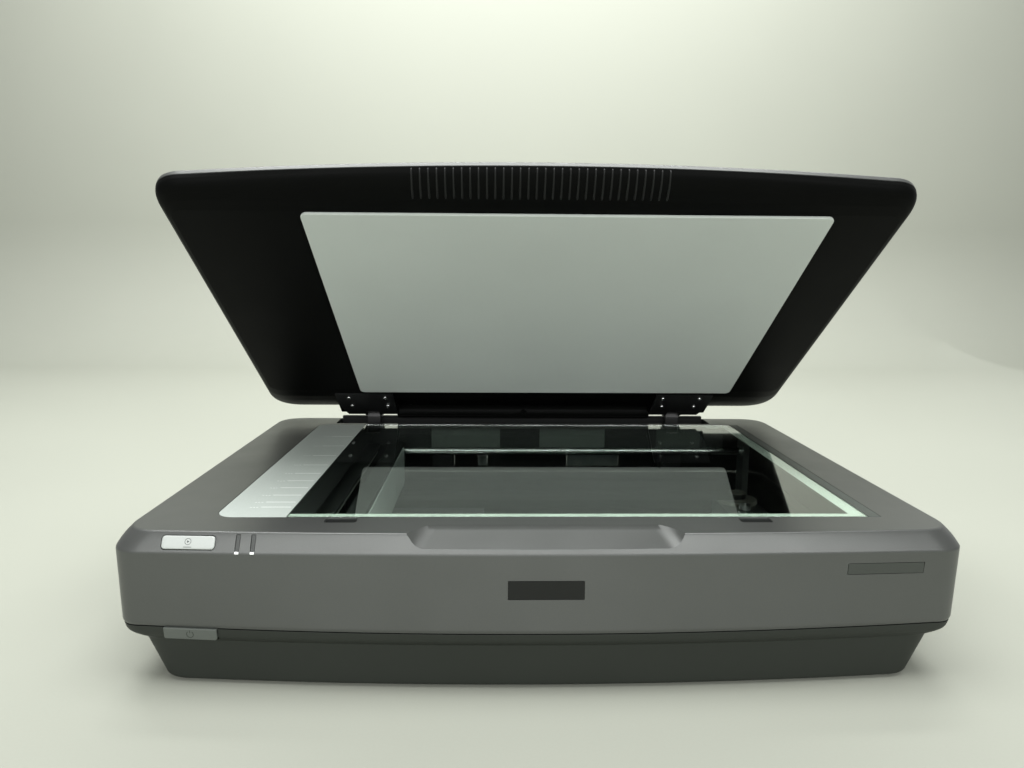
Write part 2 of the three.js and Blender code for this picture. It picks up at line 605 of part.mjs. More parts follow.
function idleBracket() {
  const [low, high] = [MOTOR.z1 + GAP, MOTOR.z1 + GAP + 2];
  return join(
    box(-PULLEY_X - 20, -PULLEY_X + 22, BELT_Y - 14, BELT_Y + 14, low, high),
    box(-PULLEY_X + 19.5, -PULLEY_X + 22, BELT_Y - 14, BELT_Y + 14, STAND, high),
    rodZ(2.5, -PULLEY_X, BELT_Y, low, BELT_Z + BELT_TALL + 2, 16),
    rodZ(5, -PULLEY_X, BELT_Y, high - 1, BELT_Z - 1.6, 16),
  );
}
add('idle_bracket', idleBracket(), PALE_STEEL);

// Coil spring that pushes the idle bracket away from the lug on the case.
class Helix extends THREE.Curve {
  constructor(radius, length, turns) {
    super();
    Object.assign(this, { radius, length, turns });
  }

  getPoint(t, target = new THREE.Vector3()) {
    const angle = t * this.turns * 2 * Math.PI;
    return target.set(t * this.length, this.radius * Math.cos(angle), this.radius * Math.sin(angle));
  }
}
const springStart = -PULLEY_X + 22 + 1;
const springLength = SPRING_LUG_X - springStart - 1;
const wire = new THREE.Shape().absarc(0, 0, 0.6, 0, 2 * Math.PI, false);
add('tension_spring', new THREE.ExtrudeGeometry(wire, {
  steps: 60, curveSegments: 3, bevelEnabled: false, extrudePath: new Helix(5, springLength, 5),
}).translate(springStart, BELT_Y, 22), STEEL);

const clampY = BELT_Y + beltInner;
add('belt_clamp', cut(
  solid(box(-206, -186, clampY - 2, clampY + BELT_THICK + 2, BELT_Z - 1, CZ0 - GAP)),
  box(-207, -185, clampY - GAP, clampY + BELT_THICK + GAP, BELT_Z - 2, BELT_Z + BELT_TALL + GAP)), PLASTIC);

// ---- hinges -------------------------------------------------------------------------------------
const pinHole = (x0, x1) => rodX(PIN + GAP, HINGE_Y, HINGE_Z, x0, x1, 16);

function postProfile() {
  const shape = new THREE.Shape();
  shape.moveTo(POST.y0, POST.foot);
  shape.lineTo(POST.y1, POST.foot);
  shape.lineTo(POST.y1, HINGE_Z - 4);
  shape.absarc(HINGE_Y, HINGE_Z, KNUCKLE, 0, Math.PI, false);
  shape.lineTo(POST.y0, HINGE_Z - 6);
  shape.closePath();
  return shape;
}

function earProfile() {
  const shape = new THREE.Shape();
  shape.moveTo(196, TRAY_PLANE - 0.7);
  shape.lineTo(206, TRAY_PLANE - 0.7);
  shape.absarc(HINGE_Y, HINGE_Z, KNUCKLE, -Math.PI / 3, Math.PI, false);
  shape.lineTo(196, TRAY_PLANE + 5);
  shape.closePath();
  return shape;
}

const PLATE = { x: 200, half: 35.5, y0: 150, y1: 206, z0: TRAY_PLANE - 0.7, z1: TRAY_PLANE + 1.8 };

function platePlan(side) {
  const [inner, outer] = [side * (PLATE.x - PLATE.half), side * (PLATE.x + PLATE.half)];
  const shape = new THREE.Shape();
  shape.moveTo(inner, PLATE.y0);
  shape.lineTo(outer, PLATE.y0);
  shape.lineTo(outer, PLATE.y1 - 22);
  shape.lineTo(outer - side * 8, PLATE.y1);
  shape.lineTo(inner, PLATE.y1);
  shape.closePath();
  return shape;
}

for (const [name, side] of [['left', -1], ['right', 1]]) {
  const x = side * POST.x;
  const half = POST.wide / 2;
  add(`hinge_socket_${name}`, cut(
    solid(box(x - half - 5, x + half + 5, POST.y0 - 4.5, POST.y1 + 4.5, POST.foot - 3.3, TROUGH.floor - 3.3)),
    box(x - half - 0.4, x + half + 0.4, POST.y0 - 0.4, POST.y1 + 0.4, POST.foot - GAP, 110)), PLASTIC);
  add(`hinge_post_${name}`, cut(
    solid(alongX(postProfile(), x - half, x + half, 8)), pinHole(x - half - 1, x + half + 1)), BLACK);
  add(`hinge_pin_${name}`, rodX(PIN, HINGE_Y, HINGE_Z, x - half - 5, x + half + 5, 16), STEEL);
  const ears = [x - half - 3, x + half + 0.4].map((at) => alongX(earProfile(), at, at + 2.6, 8));
  const notch = box(x - half - 0.4, x + half + 0.4, 198, 230, 120, 150);
  const plate = extrude(platePlan(side), PLATE.z1 - PLATE.z0).translate(0, 0, PLATE.z0);
  add(`hinge_bracket_${name}`, cut(
    join(plate, ...ears), notch, pinHole(x - half - 5, x + half + 5)), BLACK, lid);
}

// ---- lid ----------------------------------------------------------------------------------------
function lidTray() {
  let body = cut(solid(loft(TRAY_OUTER)), loft(TRAY_INNER));
  for (const side of [-1, 1]) {
    const [x0, x1] = [side * PLATE.x - PLATE.half - 1.5, side * PLATE.x + PLATE.half + 1.5];
    const ears = side * POST.x;
    body = body.add(solid(box(x0, x1, PLATE.y0 - 2, 205, TRAY_PLANE + 2.1, LID_RIM - 1)));
    body = cut(
      body,
      box(x0 + 1, x1 - 1, PLATE.y0 - 0.5, 230, 120, TRAY_PLANE + 2.1),
      box(ears - 13.5, ears + 13.5, 194, 230, 120, 150),
    );
  }
  return body;
}
add('lid_tray', lidTray(), BLACK, lid);
add('lid_cover', cut(solid(loft(COVER_OUTER)), loft(COVER_INNER)), HOUSING_GREY, lid);

const MAT = { x0: -201.7, x1: 251.7, y0: -185.7, y1: 139.8, corner: 6 };
add('document_mat', extrude(roundedRect(MAT.x0, MAT.x1, MAT.y0, MAT.y1, MAT.corner), 2.8, 4)
  .translate(0, 0, TRAY_PLANE - GAP - 2.8), WHITE, lid);

// Rounded cowl about the hinge axis, between the two hinge plates.
function cowlProfile() {
  const radius = 9.3;
  const shape = new THREE.Shape();
  shape.moveTo(HINGE_Y - radius, HINGE_Z + 1);
  shape.absarc(HINGE_Y, HINGE_Z, radius, Math.PI, 2 * Math.PI, false);
  shape.lineTo(HINGE_Y + radius, HINGE_Z + 3);
  shape.lineTo(HINGE_Y - 3, HINGE_Z + 3);
  shape.closePath();
  return shape;
}
add('hinge_cowl', alongX(cowlProfile(), -162.5, 162.5, 8), BLACK, lid);

export default scanner;
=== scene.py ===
"""Large-format flatbed scanner with its lid propped open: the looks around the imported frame.

Helpers work in millimetres, in the frame of the CAD model: X right, Y back, Z up.
"""
import json
import math

import bmesh
import bpy
from mathutils import Matrix, Vector


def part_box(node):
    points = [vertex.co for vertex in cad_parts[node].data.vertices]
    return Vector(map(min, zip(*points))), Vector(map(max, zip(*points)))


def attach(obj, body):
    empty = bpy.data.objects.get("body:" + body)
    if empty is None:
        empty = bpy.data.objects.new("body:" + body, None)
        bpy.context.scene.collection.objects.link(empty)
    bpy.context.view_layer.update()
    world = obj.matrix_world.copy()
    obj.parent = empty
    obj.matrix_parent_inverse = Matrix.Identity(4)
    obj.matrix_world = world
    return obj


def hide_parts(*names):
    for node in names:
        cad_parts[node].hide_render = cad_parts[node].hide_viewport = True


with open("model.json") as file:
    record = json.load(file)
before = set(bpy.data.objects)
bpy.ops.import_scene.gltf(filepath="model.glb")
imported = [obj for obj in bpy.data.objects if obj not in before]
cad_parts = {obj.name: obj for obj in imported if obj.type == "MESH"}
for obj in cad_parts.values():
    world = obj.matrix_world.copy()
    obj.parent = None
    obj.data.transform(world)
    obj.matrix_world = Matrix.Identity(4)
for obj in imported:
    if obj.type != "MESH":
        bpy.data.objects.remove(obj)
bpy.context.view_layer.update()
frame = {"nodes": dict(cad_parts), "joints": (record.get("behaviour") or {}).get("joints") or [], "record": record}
MM = 0.001
SCENE = bpy.context.scene


def box_mm(node):
    """(x0, x1, y0, y1, z0, z1) of a CAD node at rest."""
    low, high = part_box(node)
    return [v / MM for pair in zip(low, high) for v in pair]


# ---- camera ------------------------------------------------------------------------------------
CAMERA_AT = (-37.046, -749.370, 319.535)
CAMERA_YAW, CAMERA_PITCH, CAMERA_ROLL = 0.0226, 0.1496, 0.0069
CAMERA_LENS = 25.998


def make_camera():
    yaw, pitch, roll = CAMERA_YAW, CAMERA_PITCH, CAMERA_ROLL
    ahead = Vector((math.sin(yaw) * math.cos(pitch), math.cos(yaw) * math.cos(pitch), -math.sin(pitch)))
    level = Vector((math.cos(yaw), -math.sin(yaw), 0))
    above = level.cross(ahead)
    right = math.cos(roll) * level + math.sin(roll) * above
    up = math.cos(roll) * above - math.sin(roll) * level
    data = bpy.data.cameras.new("camera")
    data.lens, data.sensor_width = CAMERA_LENS, 36
    camera = bpy.data.objects.new("camera", data)
    SCENE.collection.objects.link(camera)
    turn = Matrix((right, up, -ahead)).transposed().to_4x4()
    camera.matrix_world = Matrix.Translation(Vector(CAMERA_AT) * MM) @ turn
    SCENE.camera = camera


make_camera()


# ---- materials ---------------------------------------------------------------------------------
def linear(r, g, b):
    """A display colour, 0 to 255 a channel, as the linear colour that a shader takes."""
    return tuple(((v / 255 + 0.055) / 1.055) ** 2.4 for v in (r, g, b)) + (1,)


def noise(tree, place, size, detail=2.0, stretch=(1, 1, 1)):
    """Noise whose lumps are about `size` mm across."""
    mapping = tree.nodes.new("ShaderNodeMapping")
    mapping.inputs["Scale"].default_value = [v / (size * MM) for v in stretch]
    texture = tree.nodes.new("ShaderNodeTexNoise")
    texture.inputs["Scale"].default_value = 1
    texture.inputs["Detail"].default_value = detail
    tree.links.new(place, mapping.inputs["Vector"])
    tree.links.new(mapping.outputs["Vector"], texture.inputs["Vector"])
    return texture.outputs["Fac"]


def spread(tree, value, low, high):
    """The middle of a noise's range, spread from low to high."""
    node = tree.nodes.new("ShaderNodeMapRange")
    node.inputs["From Min"].default_value, node.inputs["From Max"].default_value = 0.3, 0.7
    node.inputs["To Min"].default_value, node.inputs["To Max"].default_value = low, high
    tree.links.new(value, node.inputs["Value"])
    return node.outputs["Result"]


def material(name, colour, rough=0.5, metal=0.0, grain=0.5, relief=0.01, patch=70.0, vary=0.08,
             fleck=0.04, stretch=(1, 1, 1), specular=0.5, coat=0.0):
    """A moulded, painted, rolled or cast surface: two tones in broad patches, a fine grain that also
    stands out `relief` mm, and a roughness that wanders."""
    made = bpy.data.materials.new(name)
    made.use_nodes = True
    tree = made.node_tree
    shader = tree.nodes["Principled BSDF"]
    place = tree.nodes.new("ShaderNodeTexCoord").outputs["Object"]
    broad = noise(tree, place, patch, 3.0)
    fine = noise(tree, place, grain, 2.0, stretch)
    tone = tree.nodes.new("ShaderNodeMix")
    tone.data_type = "RGBA"
    base = linear(*colour)
    tone.inputs["A"].default_value = [v * (1 - vary) for v in base[:3]] + [1]
    tone.inputs["B"].default_value = [v * (1 + vary) for v in base[:3]] + [1]
    tree.links.new(spread(tree, broad, 0, 1), tone.inputs["Factor"])
    speckle = tree.nodes.new("ShaderNodeHueSaturation")
    tree.links.new(tone.outputs["Result"], speckle.inputs["Color"])
    tree.links.new(spread(tree, fine, 1 - fleck, 1 + fleck), speckle.inputs["Value"])
    tree.links.new(speckle.outputs["Color"], shader.inputs["Base Color"])
    tree.links.new(spread(tree, broad, rough - 0.04, rough + 0.04), shader.inputs["Roughness"])
    bump = tree.nodes.new("ShaderNodeBump")
    bump.inputs["Distance"].default_value = relief * MM
    tree.links.new(fine, bump.inputs["Height"])
    tree.links.new(bump.outputs["Normal"], shader.inputs["Normal"])
    shader.inputs["Metallic"].default_value = metal
    shader.inputs["Specular IOR Level"].default_value = specular
    shader.inputs["Coat Weight"].default_value = coat
    shader.inputs["Coat Roughness"].default_value = 0.12
    return made


def clear_glass(name, colour, rough, smear):
    """Glass that lets lamp light through, dimmed by a grey tint that paints shade on everything under it, with
    faint smears in its gloss.
    """
    made = bpy.data.materials.new(name)
    made.use_nodes = True
    tree = made.node_tree
    shader = tree.nodes["Principled BSDF"]
    place = tree.nodes.new("ShaderNodeTexCoord").outputs["Object"]
    shader.inputs["Base Color"].default_value = linear(*colour)
    shader.inputs["Transmission Weight"].default_value = 1
    shader.inputs["IOR"].default_value = 1.7
    wipe = noise(tree, place, 60, 4.0, (1, 0.35, 1))
    tree.links.new(spread(tree, wipe, rough, rough + smear), shader.inputs["Roughness"])
    through = tree.nodes.new("ShaderNodeBsdfTransparent")
    # painted shade: shadow rays keep only about 0.7 of their light at each pass, so the inside below the glass
    # comes out darker
    through.inputs["Color"].default_value = (0.68, 0.72, 0.69, 1)
    path = tree.nodes.new("ShaderNodeLightPath")
    mix = tree.nodes.new("ShaderNodeMixShader")
    tree.links.new(path.outputs["Is Shadow Ray"], mix.inputs["Fac"])
    tree.links.new(shader.outputs["BSDF"], mix.inputs[1])
    tree.links.new(through.outputs["BSDF"], mix.inputs[2])
    tree.links.new(mix.outputs["Shader"], tree.nodes["Material Output"].inputs["Surface"])
    return made


BRUSHED = (0.03, 1, 1)
MATERIALS = {
    "housing_grey": material("housing_grey", (90, 92, 90), 0.37, 0.58, grain=0.45, relief=0.012, vary=0.03,
                             fleck=0.05),
    "case_grey": material("case_grey", (37, 41, 36), 0.55, grain=0.7, relief=0.03, vary=0.05, fleck=0.08,
                          specular=0.35),
    "inner_dark": material("inner_dark", (15, 17, 16), 0.6, grain=0.8, relief=0.01, vary=0.1, specular=0.2),
    "lid_black": material("lid_black", (8, 9, 8), 0.45, grain=0.6, relief=0.02, vary=0.12, fleck=0.08,
                          specular=0.04),
    "rib_black": material("rib_black", (13, 15, 14), 0.45, grain=0.6, relief=0.01, vary=0.1, specular=0.3),
    "mat_white": material("mat_white", (188, 195, 189), 0.55, grain=1.2, relief=0.015, patch=120, vary=0.02,
                          fleck=0.01),
    "platen_glass": clear_glass("platen_glass", (240, 248, 243), 0.0, 0.03),
    "glass_border": material("glass_border", (196, 206, 196), 0.5, grain=0.6, relief=0.005, vary=0.02),
    "strip_silver": material("strip_silver", (176, 184, 178), 0.6, 0.1, grain=0.35, relief=0.008,
                             vary=0.03, stretch=(1, 0.1, 1), specular=0.2),
    "scale_marks": material("scale_marks", (244, 247, 244), 0.5, grain=0.4, relief=0.002, vary=0.05),
    "rail_dark": material("rail_dark", (66, 72, 67), 0.5, grain=0.5, relief=0.01, vary=0.05),
    "white_plastic": material("white_plastic", (215, 217, 210), 0.5, grain=0.6, relief=0.01, vary=0.03),
    "plate_dark": material("plate_dark", (16, 18, 16), 0.35, grain=0.3, relief=0.004, vary=0.06,
                           specular=0.3),
    "label_grey": material("label_grey", (56, 60, 56), 0.4, grain=0.3, relief=0.004, vary=0.05),
    "button_silver": material("button_silver", (174, 179, 175), 0.45, 0.1, grain=0.3, relief=0.005,
                              vary=0.02),
    "button_mark": material("button_mark", (70, 74, 72), 0.5, grain=0.3, relief=0.002, vary=0.05),
    "switch_black": material("switch_black", (30, 30, 31), 0.5, grain=0.4, vary=0.1),
    "indicator_clear": material("indicator_clear", (40, 45, 41), 0.4, grain=0.6, relief=0.002, vary=0.05,
                                coat=0.1),
    "indicator_end": material("indicator_end", (236, 240, 236), 0.3, grain=0.4, relief=0.002, vary=0.02),
    "power_button_grey": material("power_button_grey", (84, 89, 84), 0.5, grain=0.4, relief=0.01,
                                  vary=0.04),
    "rubber": material("rubber", (30, 31, 31), 0.85, grain=0.5, relief=0.05, vary=0.1),
    "carriage_black": material("carriage_black", (34, 36, 35), 0.55, grain=0.7, relief=0.03, vary=0.1),
    "side_plate_steel": material("side_plate_steel", (206, 214, 210), 0.45, 0.3, grain=0.4, relief=0.006,
                                 vary=0.06, stretch=(1, 0.05, 1)),
    "lamp_glass": material("lamp_glass", (232, 236, 230), 0.25, grain=1.0, relief=0.002, vary=0.02,
                           coat=0.5),
    "mirror": material("mirror", (226, 230, 228), 0.06, 1.0, grain=3.0, relief=0.001, vary=0.02),
    "lens_black": material("lens_black", (26, 27, 28), 0.35, 0.4, grain=0.25, relief=0.02,
                           stretch=(1, 0.1, 0.1)),
    "circuit_board": material("circuit_board", (34, 82, 56), 0.4, grain=1.6, relief=0.04, patch=9,
                              vary=0.25, coat=0.3),
    "bright_steel": material("bright_steel", (214, 216, 214), 0.2, 1.0, grain=0.3, relief=0.003, vary=0.04,
                             stretch=BRUSHED),
    "plated_steel": material("plated_steel", (150, 154, 152), 0.36, 0.9, grain=0.6, relief=0.006, vary=0.1,
                             patch=18),
    "belt_rubber": material("belt_rubber", (28, 28, 28), 0.7, grain=2.0, relief=0.2, vary=0.1,
                            stretch=(1, 0.05, 0.05)),
    "gear_plastic": material("gear_plastic", (128, 126, 118), 0.45, grain=0.5, vary=0.04),
    "motor_black": material("motor_black", (38, 39, 41), 0.4, 0.3, grain=0.5, relief=0.02, vary=0.1),
    "cable_white": material("cable_white", (206, 206, 198), 0.5, grain=1.2, relief=0.08, vary=0.04,
                            stretch=(0.02, 1, 0.02)),
    "socket_black": material("socket_black", (26, 27, 28), 0.4, grain=0.4, relief=0.01, vary=0.1),
    "hinge_black": material("hinge_black", (24, 25, 25), 0.42, 0.2, grain=0.7, relief=0.03, vary=0.15),
    "panel_grey": material("panel_grey", (92, 98, 94), 0.55, grain=0.8, relief=0.02, vary=0.06),
}


# ---- meshes ------------------------------------------------------------------------------------
def new_object(name, points, faces, place=None):
    """An object from points in mm, moved by `place`, also in mm."""
    mesh = bpy.data.meshes.new(name)
    spots = [Vector(p) for p in points]
    if place is not None:
        spots = [place @ p for p in spots]
    mesh.from_pydata([p * MM for p in spots], [], faces)
    mesh.validate()
    body = bmesh.new()
    body.from_mesh(mesh)
    bmesh.ops.recalc_face_normals(body, faces=body.faces)
    body.to_mesh(mesh)
    body.free()
    made = bpy.data.objects.new(name, mesh)
    SCENE.collection.objects.link(made)
    return made


def skin(name, rings, place=None):
    """A closed body through rings that have the same number of points."""
    count = len(rings[0])
    points = [p for ring in rings for p in ring]
    faces = [tuple(reversed(range(count)))]
    for i in range(len(rings) - 1):
        for j in range(count):
            a, b = i * count + j, i * count + (j + 1) % count
            faces.append((a, b, b + count, a + count))
    last = (len(rings) - 1) * count
    faces.append(tuple(range(last, last + count)))
    return new_object(name, points, faces, place)


def arc(cx, cy, r, start, end, steps):
    """Points on a circle, from one angle to another, in degrees."""
    turns = [math.radians(start + (end - start) * i / steps) for i in range(steps + 1)]
    return [(cx + r * math.cos(t), cy + r * math.sin(t)) for t in turns]


def rounded_rect(x0, x1, y0, y1, radii, grow=0.0, steps=6):
    """Points of a rectangle with round corners. Radii: one, or front left, front right, rear right
    and rear left."""
    radii = radii if isinstance(radii, (tuple, list)) else (radii,) * 4
    x0, x1, y0, y1 = x0 - grow, x1 + grow, y0 - grow, y1 + grow
    limit = min(x1 - x0, y1 - y0) / 2 - 1e-3
    a, b, c, d = [min(limit, max(0.05, r + grow)) for r in radii]
    return (arc(x0 + a, y0 + a, a, 180, 270, steps) + arc(x1 - b, y0 + b, b, 270, 360, steps)
            + arc(x1 - c, y1 - c, c, 0, 90, steps) + arc(x0 + d, y1 - d, d, 90, 180, steps))


def slab(name, rect, radii, levels, place=None, steps=6):
    """A body with a rounded rectangle plan. Levels are (height, how far the plan grows there)."""
    rings = [[(x, y, z) for x, y in rounded_rect(*rect, radii, grow, steps)] for z, grow in levels]
    return skin(name, rings, place)


def disc(name, centre, profile, sides=32, place=None):
    """A turned body about Z through `centre`. The profile is (radius, height) from the bottom up."""
    cx, cy = centre
    rings = [[(cx + max(r, 0.01) * math.cos(2 * math.pi * i / sides),
               cy + max(r, 0.01) * math.sin(2 * math.pi * i / sides), z) for i in range(sides)]
             for r, z in profile]
    return skin(name, rings, place)


def edged(low, high, edge):
    """Levels of a slab whose rims are rounded by `edge`."""
    return [(low, -edge), (low + 0.3 * edge, -0.3 * edge), (low + edge, 0), (high - edge, 0),
            (high - 0.3 * edge, -0.3 * edge), (high, -edge)]


def well(low, top, edge=0.5, above=4):
    """Levels of a cutter that sinks a pocket from `top` down to `low`, with a softened rim."""
    return [(low, 0), (top - edge, 0), (top - 0.3 * edge, 0.3 * edge), (top, edge),
            (top + above, edge + above)]


def joined(name, parts):
    """One object of several."""
    body = bmesh.new()
    for part in parts:
        body.from_mesh(part.data)
        bpy.data.objects.remove(part)
    mesh = bpy.data.meshes.new(name)
    body.to_mesh(mesh)
    body.free()
    made = bpy.data.objects.new(name, mesh)
    SCENE.collection.objects.link(made)
    return made


def shape_with(target, steps):
    """Unites or cuts the target with bodies, in order, and leaves one mesh."""
    for operation, part in steps:
        change = target.modifiers.new("change", "BOOLEAN")
        change.operation, change.solver, change.object = operation, "EXACT", part
    view = bpy.context.evaluated_depsgraph_get()
    mesh = bpy.data.meshes.new_from_object(target.evaluated_get(view))
    target.modifiers.clear()
    target.data = mesh
    body = bmesh.new()
    body.from_mesh(mesh)
    bmesh.ops.remove_doubles(body, verts=body.verts, dist=1e-6)
    bmesh.ops.dissolve_degenerate(body, edges=body.edges, dist=1e-6)
    body.to_mesh(mesh)
    body.free()
    for _, part in steps:
        bpy.data.objects.remove(part)
    return target


def settle(piece, body, slot, *nodes, look=None, soft_edge=32):
    """Shades a piece, gives it its material and lets it ride a body in place of CAD nodes."""
    mesh = piece.data
    for face in mesh.polygons:
        face.use_smooth = True
    mesh.set_sharp_from_angle(angle=math.radians(soft_edge))
    mesh.materials.clear()
    mesh.materials.append(MATERIALS[look or slot])
    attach(piece, body)
    if nodes:
        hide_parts(*nodes)
    even = piece.modifiers.new("even_shading", "WEIGHTED_NORMAL")
    even.keep_sharp = True
    even.weight = 100
    return piece


# ---- outlines of the cases ---------------------------------------------------------------------
# A level: height, half width, front line at the middle, how far it falls back at the corners, rear
# line, front and rear corner radii.
TOP = box_mm("platen_glass")[5]
SEAM = 50.0
HOUSING_OUTER = [
    (50.8, 327, -227.8, 17, 228, 20, 28), (53, 328, -228.8, 17, 229, 21, 30),
    (112, 328, -226, 7, 228.5, 28, 32), (119, 324, -223.1, 7.5, 227.4, 28, 32),
    (123.5, 320, -221.1, 7.8, 225.6, 28, 32), (TOP, 317, -219.7, 8.2, 223.6, 27, 31),
]
HOUSING_INNER = [
    (49, 324, -225, 17, 225.5, 18, 27), (108, 324, -221.5, 7.5, 224.5, 26, 29),
    (120.5, 315, -208, 8, 219.5, 26, 28),
]
CASE_OUTER = [
    (2, 300, -216.5, 12, 208, 25, 28), (38, 315, -221, 13, 217, 28, 28),
    (40.5, 321, -224, 15, 222.5, 24, 27), (44, 326, -227, 16.5, 227, 22, 28),
    (SEAM, 327, -228, 17, 228, 20, 28),
]
CASE_INNER = [
    (4.5, 297, -213.5, 12, 205, 22, 25), (40, 312.5, -218.5, 13, 214.5, 25, 25),
    (43, 318.5, -221.8, 15, 220.5, 21, 24), (SEAM + 1, 324, -225, 17, 225, 18, 25),
]
TRAY_OUTER = [
    (130, 311, -186, 0, 140, 14, 14), (131.2, 314.5, -199, 2, 158, 20, 20),
    (134.5, 318, -212, 5, 180, 25, 26), (139.5, 321, -220.5, 9, 199, 29, 31),
    (145, 322.5, -225, 13, 211, 31, 34),
]
TRAY_INNER = [
    (132.5, 308, -184, 0, 138, 12, 12), (137, 315, -208, 5, 177, 23, 24),
    (142, 318.5, -217.5, 9, 196, 27, 29), (146, 320, -222.5, 13, 208, 29, 32),
]
COVER_OUTER = [
    (145.3, 322.5, -225, 13, 211, 31, 34), (149.5, 322.3, -224.8, 13, 217, 31, 35),
    (153, 318.5, -219, 13, 216.5, 31, 35), (156.3, 307, -205, 11, 208.5, 30, 32),
    (158, 287, -182, 8, 190, 24, 24),
]
COVER_INNER = [
    (144, 319.5, -222, 13, 208, 28, 31), (149.3, 318, -220, 13, 212, 28, 31),
    (152.8, 311, -209, 11, 208, 26, 28), (155.5, 286, -181, 8, 188, 22, 22),
]


def quadratic(a, b, c, t):
    return tuple((1 - t) ** 2 * p + 2 * t * (1 - t) * q + t * t * r for p, q, r in zip(a, b, c))


def inset(level, by):
    z, half, front, bow, rear, front_corner, rear_corner = level
    return (z, half - by, front + by, bow, rear - by, front_corner - by / 2, rear_corner - by / 2)


def softened(levels, radii, steps=5):
    """Levels with the turns between them rounded. Radii are by the level's place in the list."""
    made = []
    for i, here in enumerate(levels):
        if not radii.get(i):
            made.append(here)
            continue
        ends = []
        for other in (levels[i - 1], levels[i + 1]):
            run = math.hypot(other[0] - here[0], max(abs(other[1] - here[1]), abs(other[2] - here[2])))
            t = min(0.46, radii[i] / run)
            ends.append([p + (q - p) * t for p, q in zip(here, other)])
        made += [quadratic(ends[0], here, ends[1], k / steps) for k in range(steps + 1)]
    return made


def outline(level, corner_steps=14, bow_steps=44):
    """Points round a case at one level: straight back and sides, round corners, bowed front."""
    z, half, front, bow, rear, front_corner, rear_corner = level
    corner, end = front + bow, half - front_corner
    curves = [
        ((-half + rear_corner, rear), (-half, rear), (-half, rear - rear_corner), corner_steps),
        ((-half, corner + front_corner), (-half, corner), (-end, corner), corner_steps),
        ((-end, corner), (0, front - bow), (end, corner), bow_steps),
        ((end, corner), (half, corner), (half, corner + front_corner), corner_steps),
        ((half, rear - rear_corner), (half, rear), (half - rear_corner, rear), corner_steps),
    ]
    points = []
    for a, b, c, steps in curves:
        points += [quadratic(a, b, c, k / steps) for k in range(steps + 1)]
    kept = [p for i, p in enumerate(points) if math.dist(p, points[i - 1]) > 1e-4]
    return [(x, y, z) for x, y in kept]


def loft(name, levels, place=None):
    return skin(name, [outline(level) for level in levels], place)


def front_line(levels, x, z):
    above = max(1, next((i for i, level in enumerate(levels) if level[0] >= z), len(levels) - 1))
    low, high = levels[above - 1], levels[above]
    lines = [lv[2] + lv[3] * (x / (lv[1] - lv[5])) ** 2 for lv in (low, high)]
    return lines[0] + (lines[1] - lines[0]) * (z - low[0]) / (high[0] - low[0])


def on_front(levels, x, z):
    """The place on a case's front, where a piece is drawn with X right, Y up and Z outward."""
    step = 0.5
    run = front_line(levels, x + step, z) - front_line(levels, x - step, z)
    rise = front_line(levels, x, z + step) - front_line(levels, x, z - step)
    right = Vector((2 * step, run, 0)).normalized()
    out = right.cross(Vector((0, rise, 2 * step))).normalized()
    up = out.cross(right)
    turn = Matrix((right, up, out)).transposed().to_4x4()
    return Matrix.Translation((x, front_line(levels, x, z), z)) @ turn


# ---- the lid's place ---------------------------------------------------------------------------
HINGE = Vector((0, 214, 138))
LID_ANGLE = next(j for j in frame["joints"] if j["name"] == "lid_hinge")["range_deg"][0]
LID = (Matrix.Translation(HINGE) @ Matrix.Rotation(math.radians(LID_ANGLE), 4, "X")
       @ Matrix.Translation(-HINGE))
REAR = Matrix(((-1, 0, 0, 0), (0, 0, 1, 0), (0, 1, 0, 0), (0, 0, 0, 1)))  # X left, Y up, Z to the back

# ---- upper housing -----------------------------------------------------------------------------
BUTTON = {"x": -265.5, "z": 119, "wide": 40, "tall": 10, "corner": 2.5}
INDICATORS = (-228.5, -217)
SLOT = {"wide": 3, "tall": 12.6}
NAME = {"x": 1.5, "z": 85, "wide": 57, "tall": 14}
LABEL = {"x": 261, "z": 98.7, "wide": 60, "tall": 8.6}
POWER = {"x": -269, "z": 45.4, "wide": 42, "tall": 9.4}
POST_X = 196
TROUGH = (-241, 241, 188, 219.8)
TROUGH_FLOOR = 104
RIM_NOTCHES = (-158, 170)  # middles of the two padded notches beside the glass
SHELL_INSIDE = Vector((0, 0, 60))  # a point that every inner face of the shells looks at


def centred(size, grow=0.0):
    wide, tall = size["wide"] / 2, size["tall"] / 2
    return (-wide - grow, wide + grow, -tall - grow, tall + grow)


def front_well(size, x, z, levels, deep, grow, corner, edge=0.35):
    return slab("cutter", centred(size, grow), corner, well(-deep, 0, edge, 3), on_front(levels, x, z))


def finger_recess():
    """A scoop across the front rim, with a sloping floor and rounded ends."""
    rings = []
    back, lip, far = -197.5, -229, -236
    for y in (back, -199, -205, -213, lip, far):
        share = max(0, (-199 - y) / 30)
        floor = TOP - 0.2 - 12.3 * share if y < -199 else TOP + y + 199
        left, right = -87 - 11 * share, 91 + 11 * share
        high, reach, r = TOP + 4, 9 + 6 * share, 7
        side = []
        for edge, sign in ((left, -1), (right, 1)):
            corner = [(edge - sign * r, floor), (edge, floor), (edge + sign * reach, high)]
            up = Vector(corner[2]) - Vector(corner[1])
            mid = Vector(corner[1]) + up * min(0.6, r / max(up.length, 1e-3))
            curve = [quadratic(corner[0], corner[1], tuple(mid), k / 8) for k in range(9)] + [corner[2]]
            side.append(curve)
        ring = list(reversed(side[0])) + side[1]
        rings.append([(x, y, z) for x, z in ring])
    return skin("cutter", rings)


